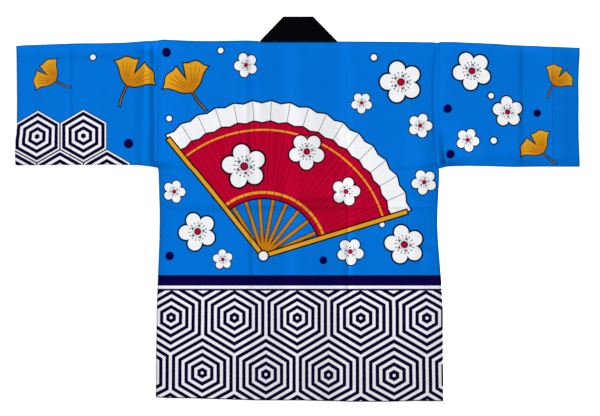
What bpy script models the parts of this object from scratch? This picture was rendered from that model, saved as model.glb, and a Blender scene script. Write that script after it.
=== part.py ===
"""A happi coat laid out flat on its front, with its back upwards.

The fronts, the sleeves' lower layers and the collar's two front runs lie on the floor at Z = 0.
The back panel and the sleeves' upper layers lie on them. X runs along the spread sleeves, +Y points
from the hem to the collar, and the origin is on the floor at the middle of the coat's box.
Left and right are the wearer's, who would face away from the viewer. Sizes are in metres.
"""

import math
from collections import namedtuple

import bmesh
import bpy
import numpy as np
from mathutils import Vector

# Cloth and seams
CLOTH = 0.0012
BAND = 2 * CLOTH
SEAM = 0.0003

# The coat as it lies
CENTRE_X = 0.0028
NECK_Y = 0.3852
SLEEVE_SEAM_LEFT = -0.3211
SLEEVE_SEAM_RIGHT = 0.3244
SLEEVE_END = 0.6500
FRONT_HEM_RISE = 0.004

# Collar band: half its run across the back of the neck, its finished width, and its fold
NECK_HALF = 0.0290
BAND_WIDTH = 0.0567
FOLD_RADIUS = (BAND + SEAM) / 2
FOLD_STEPS = 8
FRONT_RUN_STATIONS = 9
FOLD_SHIFT = math.pi * FOLD_RADIUS * math.sqrt(0.5)
BAND_INNER = NECK_HALF + FOLD_SHIFT
BAND_OUTER = BAND_INNER + BAND_WIDTH

# How the upper layers lie: the loft of loose cloth, its slope at a sewn edge and over the bands
LOFT = 0.0006
EDGE_SLOPE = 0.030
BAND_SLOPE = 0.024
NECK_SAG = 0.0009
EDGE_ROW = 0.006

# The outline as laid, each row a point on an edge that is read along the other axis
AlongX = namedtuple("AlongX", "x y")
SHOULDER = (
    AlongX(-0.650, 0.3742),
    AlongX(-0.634, 0.3765),
    AlongX(-0.560, 0.3788),
    AlongX(-0.486, 0.3811),
    AlongX(-0.394, 0.3834),
    AlongX(-0.345, 0.3852),
    AlongX(-0.334, 0.3832),
    AlongX(-0.320, 0.3876),
    AlongX(-0.275, 0.3878),
    AlongX(-0.205, 0.3856),
    AlongX(-0.160, 0.3868),
    AlongX(-0.090, 0.3868),
    AlongX(0.100, 0.3856),
    AlongX(0.232, 0.3854),
    AlongX(0.312, 0.3838),
    AlongX(0.322, 0.3808),
    AlongX(0.336, 0.3852),
    AlongX(0.389, 0.3834),
    AlongX(0.444, 0.3811),
    AlongX(0.508, 0.3765),
    AlongX(0.563, 0.3742),
    AlongX(0.650, 0.3719),
)
SLEEVE_BOTTOM = (
    AlongX(-0.650, 0.1020),
    AlongX(-0.376, 0.1023),
    AlongX(-0.339, 0.0990),
    AlongX(-0.321, 0.0954),
    AlongX(0.324, 0.0948),
    AlongX(0.342, 0.0979),
    AlongX(0.420, 0.0990),
    AlongX(0.492, 0.0968),
    AlongX(0.600, 0.0974),
    AlongX(0.650, 0.0998),
)
HEM = (
    AlongX(-0.326, -0.4328),
    AlongX(-0.250, -0.4352),
    AlongX(-0.155, -0.4376),
    AlongX(0.000, -0.4399),
    AlongX(0.160, -0.4416),
    AlongX(0.330, -0.4424),
)

AlongY = namedtuple("AlongY", "y x")
CUFF_LEFT = (
    AlongY(0.1020, -0.6492),
    AlongY(0.1300, -0.6500),
    AlongY(0.1608, -0.6500),
    AlongY(0.2258, -0.6472),
    AlongY(0.3008, -0.6452),
    AlongY(0.3754, -0.6474),
)
CUFF_RIGHT = (
    AlongY(0.0998, 0.6500),
    AlongY(0.1608, 0.6478),
    AlongY(0.2408, 0.6456),
    AlongY(0.3108, 0.6462),
    AlongY(0.3731, 0.6494),
)
SIDE_LEFT = (
    AlongY(-0.4328, -0.3253),
    AlongY(-0.2442, -0.3253),
    AlongY(-0.1892, -0.3230),
    AlongY(-0.1222, -0.3207),
    AlongY(-0.0272, -0.3163),
    AlongY(0.0508, -0.3184),
    AlongY(0.0954, SLEEVE_SEAM_LEFT),
    AlongY(0.3888, SLEEVE_SEAM_LEFT),
)
SIDE_RIGHT = (
    AlongY(-0.4424, 0.3350),
    AlongY(-0.4192, 0.3333),
    AlongY(-0.2192, 0.3333),
    AlongY(-0.1592, 0.3290),
    AlongY(-0.0952, 0.3244),
    AlongY(-0.0342, 0.3195),
    AlongY(0.0508, 0.3236),
    AlongY(0.0948, SLEEVE_SEAM_RIGHT),
    AlongY(0.3850, SLEEVE_SEAM_RIGHT),
)

# Pressed folds in the upper layers, each a soft ridge from one end to the other
Fold = namedtuple("Fold", "x0 y0 x1 y1 height half_width")
BACK_FOLDS = (
    Fold(-0.1086, 0.386, -0.1100, -0.438, 0.0020, 0.012),
    Fold(0.1150, 0.386, 0.1136, -0.442, 0.0024, 0.012),
    Fold(-0.3160, -0.0010, 0.3190, 0.0010, 0.0016, 0.014),
    Fold(-0.3180, 0.0900, -0.2700, 0.0850, 0.0012, 0.010),
    Fold(0.2370, 0.0850, 0.3230, 0.0900, 0.0012, 0.010),
)
LEFT_SLEEVE_FOLDS = (
    Fold(-0.5258, 0.376, -0.5250, 0.104, 0.0020, 0.012),
    Fold(-0.3310, 0.382, -0.3310, 0.098, 0.0020, 0.007),
    Fold(-0.3640, 0.382, -0.3600, 0.102, 0.0010, 0.010),
)
RIGHT_SLEEVE_FOLDS = (
    Fold(0.5176, 0.374, 0.5176, 0.100, 0.0024, 0.012),
    Fold(0.3340, 0.382, 0.3340, 0.098, 0.0018, 0.007),
)

# Grid lines between the folds, so that long panels follow their outlines
BACK_COLUMNS = (-0.270, -0.225, -0.180, -0.145, 0.145, 0.180, 0.225, 0.270)
BACK_ROWS_BELOW = (-0.40, -0.35, -0.30, -0.25, -0.19, -0.14, -0.09, -0.045)
BACK_ROWS_ABOVE = (0.045, 0.13, 0.18, 0.23, 0.28, 0.33, 0.36)
FRONT_ROWS = (*BACK_ROWS_BELOW, 0.0, *BACK_ROWS_ABOVE)
NECK_COLUMNS = (0.0, 0.016, BAND_INNER, 0.060, NECK_HALF + BAND_WIDTH + 0.003, NECK_HALF + BAND_WIDTH + 0.012)
LEFT_SLEEVE_COLUMNS = (-0.61, -0.57, -0.49, -0.45, -0.41, -0.385)
RIGHT_SLEEVE_COLUMNS = (0.37, 0.41, 0.45, 0.485, 0.55, 0.58, 0.615)
SLEEVE_ROWS = 12
TURN_STEPS = 4


def edge_along_x(table, x):
    """The Y of an edge at X, straight between the table's points."""
    return float(np.interp(x, [point.x for point in table], [point.y for point in table]))


def edge_along_y(table, y):
    """The X of an edge at Y, straight between the table's points."""
    return float(np.interp(y, [point.y for point in table], [point.x for point in table]))


def smooth(value):
    """An even slope from 0 to 1, level at both ends."""
    held = min(max(value, 0.0), 1.0)
    return held * held * (3 - 2 * held)


def fold_height(folds, x, y):
    """The highest of the pressed folds at a point of a panel. Each fades out past its ends."""
    highest = 0.0
    for fold in folds:
        along_x, along_y = fold.x1 - fold.x0, fold.y1 - fold.y0
        length = math.hypot(along_x, along_y)
        travelled = ((x - fold.x0) * along_x + (y - fold.y0) * along_y) / length
        aside = abs((x - fold.x0) * along_y - (y - fold.y0) * along_x) / length
        within = min(travelled, length - travelled)
        fading = smooth(1 + within / fold.half_width) * smooth(1 - aside / fold.half_width)
        highest = max(highest, fold.height * fading)
    return highest


def fold_lines(folds, upright):
    """The grid lines that carry the upright or the level folds: crest, flanks and feet."""
    lines = []
    for fold in folds:
        stands = abs(fold.x1 - fold.x0) < abs(fold.y1 - fold.y0)
        if stands == upright:
            middle = (fold.x0 + fold.x1) / 2 if upright else (fold.y0 + fold.y1) / 2
            lines += [middle + share * fold.half_width for share in (-1, -0.5, 0, 0.5, 1)]
    return lines


def grid_lines(low, high, lines):
    """Sorted grid lines between two edges, with a row close to each edge and none crowded."""
    kept = [low, low + EDGE_ROW]
    for line in sorted(lines):
        if max(low + 1.5 * EDGE_ROW, kept[-1] + EDGE_ROW / 2) < line < high - 1.5 * EDGE_ROW:
            kept.append(line)
    return kept + [high - EDGE_ROW, high]


def follow(line, low, high, near_low, near_high):
    """Moves a grid line's point with the edge that it belongs to, and leaves the others in place."""
    if line < near_low + 1.5 * EDGE_ROW:
        return low + line - near_low
    if line > near_high - 1.5 * EDGE_ROW:
        return high + line - near_high
    return line


def make_object(name, bm, material):
    """Closes a mesh into a named object with its material, its faces pointing out."""
    bmesh.ops.recalc_face_normals(bm, faces=bm.faces[:])
    mesh = bpy.data.meshes.new(name)
    bm.to_mesh(mesh)
    bm.free()
    mesh.materials.append(material)
    piece = bpy.data.objects.new(name, mesh)
    bpy.context.scene.collection.objects.link(piece)
    return piece


def cloth_material(name, colour, roughness):
    """Plain cotton of one colour."""
    material = bpy.data.materials.new(name)
    material.use_nodes = True
    shader = material.node_tree.nodes["Principled BSDF"]
    shader.inputs["Base Color"].default_value = (*colour, 1.0)
    shader.inputs["Roughness"].default_value = roughness
    shader.inputs["Metallic"].default_value = 0.0
    return material


def laid_panel(name, columns, rows, place, underside, material):
    """A flat-laid panel: a wall one cloth thick between its lower and upper grids."""
    bm = bmesh.new()
    lower, upper = {}, {}
    for i, column in enumerate(columns):
        for j, row in enumerate(rows):
            x, y = place(column, row)
            z = underside(x, y)
            lower[i, j] = bm.verts.new((x, y, z))
            upper[i, j] = bm.verts.new((x, y, z + CLOTH))
    for i in range(len(columns) - 1):
        for j in range(len(rows) - 1):
            corners = ((i, j), (i + 1, j), (i + 1, j + 1), (i, j + 1))
            bm.faces.new([upper[corner] for corner in corners])
            bm.faces.new([lower[corner] for corner in reversed(corners)])
    last_i, last_j = len(columns) - 1, len(rows) - 1
    rim = [(i, 0) for i in range(last_i)] + [(last_i, j) for j in range(last_j)]
    rim += [(i, last_j) for i in range(last_i, 0, -1)] + [(0, j) for j in range(last_j, 0, -1)]
    for here, there in zip(rim, rim[1:] + rim[:1]):
        bm.faces.new((lower[here], lower[there], upper[there], upper[here]))
    return make_object(name, bm, material)


# Back panel: one width of cloth from shoulder to hem, on top of the fronts and the collar's runs


def back_underside(x, y):
    """The back's lower face: on the fronts, over the bands, and loose and folded between its seams."""
    aside = abs(x - CENTRE_X)
    over_front = CLOTH + SEAM
    over_band = BAND + SEAM
    band_rise = (over_band - over_front) * smooth(1 - (aside - BAND_OUTER - EDGE_ROW) / BAND_SLOPE)
    from_side = min(x - edge_along_y(SIDE_LEFT, y), edge_along_y(SIDE_RIGHT, y) - x)
    from_neck = edge_along_x(SHOULDER, x) - y
    unsewn = smooth(from_side / EDGE_SLOPE) * smooth(from_neck / EDGE_SLOPE)
    sag = NECK_SAG * smooth(1 - aside / BAND_INNER)
    return over_front + band_rise + unsewn * (LOFT + fold_height(BACK_FOLDS, x, y) - sag)


def place_on_back(column, row):
    """A grid point of the back, with the outermost rows on its outline."""
    left, right = edge_along_y(SIDE_LEFT, row) + SEAM / 2, edge_along_y(SIDE_RIGHT, row) - SEAM / 2
    x = follow(column, left, right, SLEEVE_SEAM_LEFT, SLEEVE_SEAM_RIGHT)
    return x, follow(row, edge_along_x(HEM, x), back_top(x), HEM[0].y, NECK_Y)


def back_top(x):
    """The back's top edge: the shoulder line, and the neck seam below the collar."""
    if abs(x - CENTRE_X) <= BAND_OUTER + SEAM:
        return NECK_Y - SEAM
    return edge_along_x(SHOULDER, x)


def make_back(material):
    neck_columns = [CENTRE_X + side * offset for side in (-1, 1) for offset in NECK_COLUMNS]
    columns = [*BACK_COLUMNS, *neck_columns, *fold_lines(BACK_FOLDS, True)]
    rows = [*BACK_ROWS_BELOW, *BACK_ROWS_ABOVE, *fold_lines(BACK_FOLDS, False)]
    return laid_panel(
        "back",
        grid_lines(SLEEVE_SEAM_LEFT, SLEEVE_SEAM_RIGHT, columns),
        grid_lines(HEM[0].y, NECK_Y, rows),
        place_on_back,
        back_underside,
        material,
    )


# Fronts: straight panels flat on the floor, from the collar's seam to the side seam


def make_front(name, side, material):
    """The front on one side, -1 for the wearer's left and 1 for the right."""
    inner = CENTRE_X + side * (BAND_OUTER + SEAM)
    seam_table = SIDE_LEFT if side < 0 else SIDE_RIGHT
    outer = SLEEVE_SEAM_LEFT if side < 0 else SLEEVE_SEAM_RIGHT

    def place(column, row):
        edge = edge_along_y(seam_table, row) - side * SEAM / 2
        if side < 0:
            x = follow(column, edge, inner, outer, inner)
        else:
            x = follow(column, inner, edge, inner, outer)
        hem = edge_along_x(HEM, x) + FRONT_HEM_RISE
        return x, follow(row, hem, edge_along_x(SHOULDER, x), HEM[0].y, NECK_Y)

    inside = [column for column in BACK_COLUMNS if side * column > 0]
    columns = grid_lines(min(inner, outer), max(inner, outer), inside)
    rows = grid_lines(HEM[0].y, NECK_Y, FRONT_ROWS)
    return laid_panel(name, columns, rows, place, lambda x, y: 0.0, material)


# Sleeves: a rectangle folded at the top, sewn along the bottom, and laid flat as a thin tube


def sleeve_gap(folds, x, y, top, bottom):
    """How far a sleeve's upper layer lies above its lower one."""
    from_edge = min(top - y, y - bottom)
    from_seam = min(abs(x - SLEEVE_SEAM_LEFT), abs(x - SLEEVE_SEAM_RIGHT))
    loose = LOFT * smooth(from_seam / EDGE_SLOPE) + fold_height(folds, x, y)
    return SEAM + loose * smooth(from_edge / EDGE_SLOPE)


def sleeve_ring(x_of, folds, top, bottom):
    """One flat loop through a sleeve: its outer points and, inside the wall, its inner points."""
    turn = CLOTH + SEAM / 2
    outer, inner = [], []
    runs = [bottom + turn + (top - bottom - 2 * turn) * step / SLEEVE_ROWS for step in range(SLEEVE_ROWS + 1)]
    for y in runs:
        outer.append(Vector((x_of(y), y, 0.0)))
        inner.append(Vector((x_of(y), y, CLOTH)))
    for step in range(1, TURN_STEPS):
        angle = math.pi * step / TURN_STEPS - math.pi / 2
        for points, radius in ((outer, turn), (inner, turn - CLOTH)):
            y = top - turn + radius * math.cos(angle)
            points.append(Vector((x_of(y), y, turn + radius * math.sin(angle))))
    for y in reversed(runs):
        gap = sleeve_gap(folds, x_of(y), y, top - turn, bottom + turn)
        outer.append(Vector((x_of(y), y, 2 * CLOTH + gap)))
        inner.append(Vector((x_of(y), y, CLOTH + gap)))
    for step in range(1, TURN_STEPS):
        angle = math.pi * step / TURN_STEPS + math.pi / 2
        for points, radius in ((outer, turn), (inner, turn - CLOTH)):
            y = bottom + turn + radius * math.cos(angle)
            points.append(Vector((x_of(y), y, turn + radius * math.sin(angle))))
    return outer, inner


def make_sleeve(name, side, folds, middle_columns, material):
    """One sleeve, -1 for the wearer's left and 1 for the right, from its cuff to the armhole."""
    seam = SLEEVE_SEAM_LEFT - SEAM / 2 if side < 0 else SLEEVE_SEAM_RIGHT + SEAM / 2
    cuff_table = CUFF_LEFT if side < 0 else CUFF_RIGHT
    cuff = side * SLEEVE_END
    columns = [*middle_columns, *fold_lines(folds, True)]
    stations = grid_lines(min(seam, cuff), max(seam, cuff), columns)
    bm = bmesh.new()
    loops = []
    for station in stations:

        def x_of(y, station=station):
            edge = edge_along_y(cuff_table, y)
            if abs(station - cuff) < 1.5 * EDGE_ROW:
                return edge + station - cuff
            return station

        top, bottom = edge_along_x(SHOULDER, station), edge_along_x(SLEEVE_BOTTOM, station)
        outer, inner = sleeve_ring(x_of, folds, top, bottom)
        loops.append(([bm.verts.new(point) for point in outer], [bm.verts.new(point) for point in inner]))
    count = len(loops[0][0])
    for here, there in zip(loops, loops[1:]):
        for k in range(count):
            after = (k + 1) % count
            bm.faces.new((here[0][k], there[0][k], there[0][after], here[0][after]))
            bm.faces.new((here[1][k], here[1][after], there[1][after], there[1][k]))
    for outer, inner in (loops[0], loops[-1]):
        for k in range(count):
            after = (k + 1) % count
            bm.faces.new((outer[k], outer[after], inner[after], inner[k]))
    return make_object(name, bm, material)


# Collar: one doubled band round the back of the neck, mitred down each front to the hem


def collar_stations(side):
    """The band from the middle of the neck to one front hem: its two edges, its level and its face.

    Each station holds the free edge, the sewn edge and the direction that the band's face points.
    """
    low, high = BAND / 2, BAND / 2 + 2 * FOLD_RADIUS
    across = Vector((side, 1.0, 0.0)).normalized()
    down = Vector((side, -1.0, 0.0)).normalized()
    up = Vector((0.0, 0.0, 1.0))
    free = Vector((CENTRE_X + side * NECK_HALF, NECK_Y + BAND_WIDTH, high))
    sewn = Vector((CENTRE_X + side * (NECK_HALF + BAND_WIDTH), NECK_Y, high))
    stations = []
    for step in range(FOLD_STEPS + 1):
        angle = math.pi * step / FOLD_STEPS
        move = across * FOLD_RADIUS * math.sin(angle) - up * FOLD_RADIUS * (1 - math.cos(angle))
        face = up * math.cos(angle) + across * math.sin(angle)
        stations.append((free + move + down * FOLD_RADIUS * angle, sewn + move, face))
    front_hem = edge_along_x(HEM, CENTRE_X + side * BAND_OUTER) + FRONT_HEM_RISE
    below_neck = NECK_Y - 2 * FOLD_SHIFT
    for y in np.linspace(below_neck, front_hem, FRONT_RUN_STATIONS):
        inner = Vector((CENTRE_X + side * BAND_INNER, float(y), low))
        outer = Vector((CENTRE_X + side * BAND_OUTER, float(y), low))
        stations.append((inner, outer, -up))
    return stations


def make_collar(material):
    up = Vector((0.0, 0.0, 1.0))
    high = BAND / 2 + 2 * FOLD_RADIUS
    middle = (Vector((CENTRE_X, NECK_Y + BAND_WIDTH, high)), Vector((CENTRE_X, NECK_Y, high)), up)
    stations = collar_stations(-1)[::-1] + [middle] + collar_stations(1)
    bm = bmesh.new()
    rings = []
    for free, sewn, face in stations:
        half = face * BAND / 2
        rings.append([bm.verts.new(point) for point in (free + half, sewn + half, sewn - half, free - half)])
    for here, there in zip(rings, rings[1:]):
        for k in range(4):
            after = (k + 1) % 4
            bm.faces.new((here[k], here[after], there[after], there[k]))
    bm.faces.new(rings[0])
    bm.faces.new(rings[-1])
    return make_object("collar", bm, material)


for left_over in list(bpy.data.objects):
    bpy.data.objects.remove(left_over, do_unlink=True)

make_back(cloth_material("printed_cotton_back", (0.02, 0.18, 0.68), 0.8))
make_front("front_left", -1, cloth_material("printed_cotton_front_left", (0.02, 0.18, 0.68), 0.8))
make_front("front_right", 1, cloth_material("printed_cotton_front_right", (0.02, 0.18, 0.68), 0.8))
make_sleeve(
    "sleeve_left",
    -1,
    LEFT_SLEEVE_FOLDS,
    LEFT_SLEEVE_COLUMNS,
    cloth_material("printed_cotton_sleeve_left", (0.02, 0.18, 0.68), 0.8),
)
make_sleeve(
    "sleeve_right",
    1,
    RIGHT_SLEEVE_FOLDS,
    RIGHT_SLEEVE_COLUMNS,
    cloth_material("printed_cotton_sleeve_right", (0.02, 0.18, 0.68), 0.8),
)
make_collar(cloth_material("black_cotton_collar", (0.004, 0.004, 0.006), 0.75))
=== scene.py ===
"""A happi coat of printed cotton, laid out flat on its front with its back upwards."""

import math
from collections import namedtuple

import bpy
import numpy as np
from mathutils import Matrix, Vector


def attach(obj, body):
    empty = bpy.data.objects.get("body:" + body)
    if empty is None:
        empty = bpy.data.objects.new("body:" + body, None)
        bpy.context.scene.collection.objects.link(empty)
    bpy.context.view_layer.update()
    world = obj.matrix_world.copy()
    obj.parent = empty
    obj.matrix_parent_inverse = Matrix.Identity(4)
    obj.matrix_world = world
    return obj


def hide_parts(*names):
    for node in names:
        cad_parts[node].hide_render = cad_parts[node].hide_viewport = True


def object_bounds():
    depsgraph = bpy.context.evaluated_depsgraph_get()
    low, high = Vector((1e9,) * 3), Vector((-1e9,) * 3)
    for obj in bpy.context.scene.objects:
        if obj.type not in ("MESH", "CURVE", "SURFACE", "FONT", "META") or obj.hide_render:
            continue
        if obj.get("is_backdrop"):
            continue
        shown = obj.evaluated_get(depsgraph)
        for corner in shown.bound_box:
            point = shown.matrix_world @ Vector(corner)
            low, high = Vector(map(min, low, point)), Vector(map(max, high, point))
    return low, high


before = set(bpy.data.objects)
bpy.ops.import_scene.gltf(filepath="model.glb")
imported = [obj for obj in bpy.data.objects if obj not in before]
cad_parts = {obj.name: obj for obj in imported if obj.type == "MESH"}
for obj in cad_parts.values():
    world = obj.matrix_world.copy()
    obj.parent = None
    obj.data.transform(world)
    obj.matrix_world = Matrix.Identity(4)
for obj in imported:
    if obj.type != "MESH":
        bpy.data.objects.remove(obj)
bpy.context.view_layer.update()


# ---- Back panel ----
# One width of smooth cotton from the shoulder to the hem, printed before it is cut. It lies on the
# fronts and on the collar's two runs, keeps the folds in which the coat was packed, and its hem is
# turned under and sewn down with one row of machine stitches.

# WALL and SEAM are the room for a layer and between two. The back meets the fronts at MIDDLE.
CLOTH = 0.0006
DOUBLED = 0.0011
WALL = 0.0012
SEAM = 0.0003
MIDDLE = WALL + SEAM / 2

CENTRE_X = 0.0028
NECK_Y = 0.3842
LEFT_SEAM = -0.3211
RIGHT_SEAM = 0.3244
SEAMS = {-1: LEFT_SEAM, 1: RIGHT_SEAM}
SLEEVE_END = 0.6500
HEM_Y = -0.4328
UNDERARM_Y = 0.0950
BAND_WIDTH = 0.0584
BAND_RISE = 0.0012
BAND_INNER = 0.0320
BAND_OUTER = BAND_INNER + BAND_WIDTH
NECK_REACH = 0.0920

# Points on the fold lines of the laid coat: X and Y, or for the sides and the cuffs Y and X.
EDGES = {
    "shoulder": (
        (-0.65, 0.3752), (-0.63, 0.3767), (-0.504, 0.3812), (-0.448, 0.3814), (-0.393, 0.3829),
        (-0.345, 0.3868), (-0.338, 0.3865), (-0.329, 0.3875), (-0.32, 0.3877), (-0.313, 0.3894),
        (-0.304, 0.3898), (-0.255, 0.3873), (-0.2, 0.3863), (-0.117, 0.3877), (-0.089, 0.3867),
        (0.242, 0.3846), (0.312, 0.3834), (0.321, 0.3821), (0.325, 0.3827), (0.33, 0.3843),
        (0.353, 0.3845), (0.464, 0.3796), (0.491, 0.3772), (0.65, 0.3708),
    ),
    "sleeve_bottom": (
        (-0.65, 0.1012), (-0.435, 0.1027), (-0.366, 0.1017), (-0.338, 0.0987), (-0.321, 0.0954),
        (0.324, 0.0938), (0.33, 0.0945), (0.339, 0.0973), (0.348, 0.099), (0.39, 0.1001),
        (0.445, 0.0993), (0.5, 0.0975), (0.556, 0.0984), (0.65, 0.0982),
    ),
    "hem": (
        (-0.326, -0.4326), (-0.292, -0.4348), (-0.237, -0.4353), (-0.098, -0.4397), (0.012, -0.44),
        (0.095, -0.4419), (0.123, -0.4431), (0.206, -0.443), (0.261, -0.4414), (0.336, -0.4424),
    ),
    "left_side": (
        (-0.4328, -0.325), (-0.3487, -0.3246), (-0.21, -0.3222), (-0.0723, -0.3167),
        (-0.0263, -0.3159), (-0.0032, -0.316), (0.0889, -0.3188), (0.0954, LEFT_SEAM),
        (0.3888, LEFT_SEAM),
    ),
    "right_side": (
        (-0.4424, 0.3352), (-0.3947, 0.3354), (-0.3487, 0.3346), (-0.2335, 0.3343), (-0.1644, 0.3305),
        (-0.0723, 0.3233), (-0.04, 0.3217), (-0.0032, 0.3221), (0.0659, 0.3258), (0.0889, 0.3262),
        (0.0948, RIGHT_SEAM), (0.385, RIGHT_SEAM),
    ),
    "left_cuff": (
        (0.1012, -0.6487), (0.1211, -0.6493), (0.158, -0.6491), (0.17, -0.647), (0.195, -0.6452),
        (0.2501, -0.6448), (0.3606, -0.646), (0.3752, -0.6472),
    ),
    "right_cuff": (
        (0.0982, 0.65), (0.158, 0.6474), (0.2132, 0.6468), (0.2501, 0.6472), (0.2869, 0.6466),
        (0.3238, 0.6474), (0.3422, 0.6488), (0.3708, 0.65),
    ),
}

# How far the roll of the cloth shifts each edge from its line.
ROLL_SHIFT = {
    "shoulder": 0.0006,
    "sleeve_bottom": -0.0010,
    "hem": -0.0005,
    "left_side": -0.0008,
    "right_side": 0.0011,
    "left_cuff": 0.0002,
    "right_cuff": 0.0004,
}
CORNER_BLUR = 0.002


def edge(name, place):
    """Where an edge of the laid coat lies: its fold line, plus the roll of the cloth round it."""
    along, across = np.array(EDGES[name]).T
    steps = (-CORNER_BLUR, 0.0, CORNER_BLUR)
    return ROLL_SHIFT[name] + sum(np.interp(place + step, along, across) for step in steps) / 3


def smooth(value):
    """An even slope from 0 to 1, level at both ends."""
    held = np.clip(value, 0.0, 1.0)
    return held * held * (3 - 2 * held)


def rounded(distance, radius):
    """The height of a rounded edge, from 0 at the edge to 1 at its radius."""
    return np.sqrt(np.clip(1 - (1 - np.clip(distance / radius, 0, 1)) ** 2, 0, 1))


def ripple(x, y, length, seed):
    """Uneven waves of about one length, running all ways."""
    total = 0.0
    for turn in range(5):
        angle = 1.7 * seed + 2.4 * turn
        along = x * math.cos(angle) + y * math.sin(angle)
        total = total + np.sin(along * math.tau * (0.7 + 0.15 * turn) / length + 3.1 * seed * turn)
    return total / 5


# A fold that packing pressed in, with the height of its crest at both ends. Its flank is low_side
# wide on the right of its run, and high_side on the left.
Crease = namedtuple("Crease", "x0 y0 x1 y1 height end_height low_side high_side")


def creases(*rows):
    return tuple(Crease(*row) for row in rows)


SEAM_CREASES = creases(
    (-0.3298, 0.396, -0.3297, 0.101, 0.0026, 0.0033, 0.013, 0.07),
    (-0.3493, 0.396, -0.359, 0.088, 0.0022, 0.001, 0.0198, 0.016),
    (0.3239, 0.396, 0.3184, 0.357, 0.002, 0.0014, 0.0052, 0.035),
    (0.3184, 0.357, 0.3155, 0.335, 0.0014, 0.0012, 0.0052, 0.035),
    (0.3155, 0.335, 0.3124, 0.28, 0.0012, 0.0011, 0.0054, 0.035),
    (0.3124, 0.28, 0.3195, 0.085, 0.0011, 0.0008, 0.0054, 0.035),
    (0.297, 0.22, 0.2975, 0.085, -0.0006, -0.0021, 0.055, 0.02),
    (0.333, 0.19, 0.3415, 0.08, 0.0008, 0.006, 0.012, 0.09),
)
BACK_CREASES = creases(
    (-0.1105, 0.396, -0.109, 0.06, 0.001, 0.0008, 0.009, 0.025),
    (-0.109, 0.06, -0.102, -0.15, 0.0006, 0.001, 0.009, 0.0075),
    (-0.102, -0.15, -0.0985, -0.45, 0.0003, 0.0001, 0.009, 0.0075),
    (-0.129, 0.396, -0.126, -0.01, 0.0003, 0.0003, 0.008, 0.01),
    (0.116, 0.396, 0.1165, 0.06, 0.0003, 0.001, 0.012, 0.013),
    (0.1165, 0.06, 0.1178, -0.16, 0.0012, 0.0036, 0.016, 0.013),
    (0.1178, -0.16, 0.1183, -0.215, 0.0036, 0.0011, 0.015, 0.011),
    (0.1183, -0.215, 0.119, -0.45, 0.0011, 0.0007, 0.012, 0.009),
    (-0.038, 0.024, 0.116, 0.0245, 0.0024, 0.0034, 0.012, 0.06),
    (-0.33, 0.007, 0.116, 0.0075, 0.0009, 0.0026, 0.012, 0.05),
    (0.116, 0.005, 0.33, 0.005, 0.001, 0.0008, 0.009, 0.015),
    (-0.33, 0.017, -0.242, 0.018, 0.0001, 0.0003, 0.009, 0.02),
    (-0.33, 0.101, -0.232, 0.099, 0.0001, 0.0003, 0.007, 0.02),
    (0.229, 0.099, 0.335, 0.1, 0.0009, 0.002, 0.011, 0.03),
    (-0.258, 0.2655, -0.122, 0.2475, 0.0003, 0.0003, 0.016, 0.016),
    (0.142, 0.229, 0.298, 0.256, 0.0003, 0.0003, 0.016, 0.016),
    (-0.303, -0.2305, -0.142, -0.211, 0.0004, 0.0003, 0.014, 0.014),
    (-0.248, 0.375, -0.137, 0.386, 0.0005, 0.0004, 0.006, 0.008),
    (0.27, -0.09, 0.322, -0.0775, 0.0004, 0.0036, 0.015, 0.017),
    (0.287, -0.099, 0.263, -0.1495, 0.0018, 0.001, 0.015, 0.03),
)
CREASE_TIP = 0.0010
CREASE_FADE = 0.020
CREASE_WAVER = 0.0007
CREASE_TREMOR = 0.0004
CREASE_UNEVEN = 0.14
SHARP_FLANK = 0.02
SHARPNESS = 1.6


def creased(folds, x, y):
    """The height that pressed folds add. Each has a sharp crest and two flanks of its own width."""
    total = 0.0
    for number, crease in enumerate(folds):
        run_x, run_y = crease.x1 - crease.x0, crease.y1 - crease.y0
        length = math.hypot(run_x, run_y)
        along = ((x - crease.x0) * run_x + (y - crease.y0) * run_y) / length
        aside = (run_x * (y - crease.y0) - run_y * (x - crease.x0)) / length
        aside = aside + CREASE_WAVER * np.sin(23 * along + 2 * number)
        aside = aside + CREASE_TREMOR * np.sin(71 * along + number)
        reach = np.where(aside < 0, crease.low_side, crease.high_side)
        ends = smooth(0.5 + np.minimum(along, length - along) / CREASE_FADE)
        height = crease.height + (crease.end_height - crease.height) * np.clip(along / length, 0, 1)
        uneven = CREASE_UNEVEN * np.sin(17 * along + 1.7 * number) * np.sin(41 * along + number)
        share = np.clip(1 - (np.hypot(aside, CREASE_TIP) - CREASE_TIP) / reach, 0, 1)
        fall = np.where(reach > SHARP_FLANK, smooth(share), share**SHARPNESS)
        total = total + height * ends * (1 - CREASE_UNEVEN + uneven) * fall
    return total


def spaced(low, high, pitch, fine):
    """Grid lines from low to high at one pitch, closer round each (place, reach, pitch) of fine."""
    samples = np.linspace(low, high, 6001)
    density = np.full(len(samples), 1 / pitch)
    for place, reach, fine_pitch in fine:
        density += np.exp(-(((samples - place) / reach) ** 2)) / fine_pitch
    counted = np.concatenate([[0], np.cumsum((density[1:] + density[:-1]) / 2 * np.diff(samples))])
    return np.interp(np.linspace(0, counted[-1], math.ceil(counted[-1]) + 1), counted, samples)


BACK_HEM_TURN = 0.0400
HEM_STEP, HEM_STEP_WIDTH = 0.0004, 0.0016
LOFT = 0.0006

# How far in from its edges the cloth is eased to them, and held down by them.
EASE = 0.25
SHOULDER_EASE = 0.08
SEAM_HOLD = 0.030
NECK_HOLD = 0.024
UNDERARM_HOLD = 0.012
NECK_CORNER = 0.003

# The rolled edges, the grooves between them, and what lies under.
EDGE_ROLL = 0.0022
SEAM_GROOVE = {-1: 0.34, 1: 0.24}
NECK_JOIN = 0.65
BAND_CORNER = 0.004
BAND_SLOPE = 0.024
NECK_SAG = 0.0009
ALLOWANCE_RIDGE = 0.00018
ALLOWANCE_RIDGE_PLACE = 0.013
ALLOWANCE_RIDGE_WIDTH = 0.0025

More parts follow.
